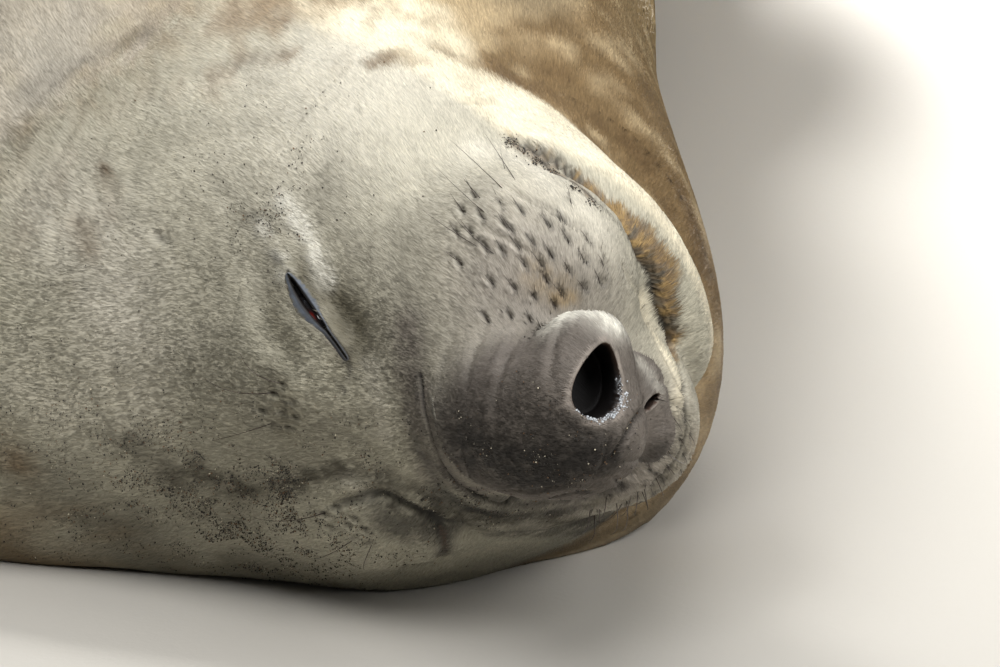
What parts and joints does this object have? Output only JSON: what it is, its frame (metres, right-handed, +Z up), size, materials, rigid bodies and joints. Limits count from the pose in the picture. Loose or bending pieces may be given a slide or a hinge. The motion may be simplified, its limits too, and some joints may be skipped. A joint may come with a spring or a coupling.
{
  "type": "elephant seal",
  "caption": "Life-size northern elephant seal, a young male asleep on its right side, head turned out, one large nostril open, eye almost shut.",
  "frame": {"origin": "middle of the box that holds the whole animal, on the floor under it", "axes": "+Y from head to tail along the body, +Z up, +X towards the belly side, where the throat and nose point"},
  "size_m": [0.7589, 3.6604, 0.6123],
  "materials": {
    "face_hair": "short flat hair, cream grey",
    "nose_hair": "short hair over wrinkled skin, brown grey",
    "jaw_hair": "short pale yellow hair",
    "neck_hair": "short tan hair with cream patches",
    "trunk_hair": "short tan brown hair",
    "flipper_hair": "dark skin with short hair",
    "eye_surface": "wet dark eye",
    "claw_horn": "dark horn"
  },
  "bodies": {
    "root": {"head": "face_hair", "nose": "nose_hair", "lower_jaw": "jaw_hair", "neck": "neck_hair", "trunk_front": "trunk_hair", "trunk_middle": "trunk_hair", "trunk_rear": "trunk_hair", "hips": "trunk_hair", "tail": "trunk_hair", "foreflipper_left": "flipper_hair", "foreflipper_right": "flipper_hair", "hindflipper_left": "flipper_hair", "hindflipper_right": "flipper_hair", "eye_left": "eye_surface", "eye_right": "eye_surface", "claw_left_1": "claw_horn", "claw_left_2": "claw_horn", "claw_left_3": "claw_horn", "claw_left_4": "claw_horn", "claw_left_5": "claw_horn", "claw_right_1": "claw_horn", "claw_right_2": "claw_horn", "claw_right_3": "claw_horn", "claw_right_4": "claw_horn", "claw_right_5": "claw_horn"}
  },
  "joints": []
}
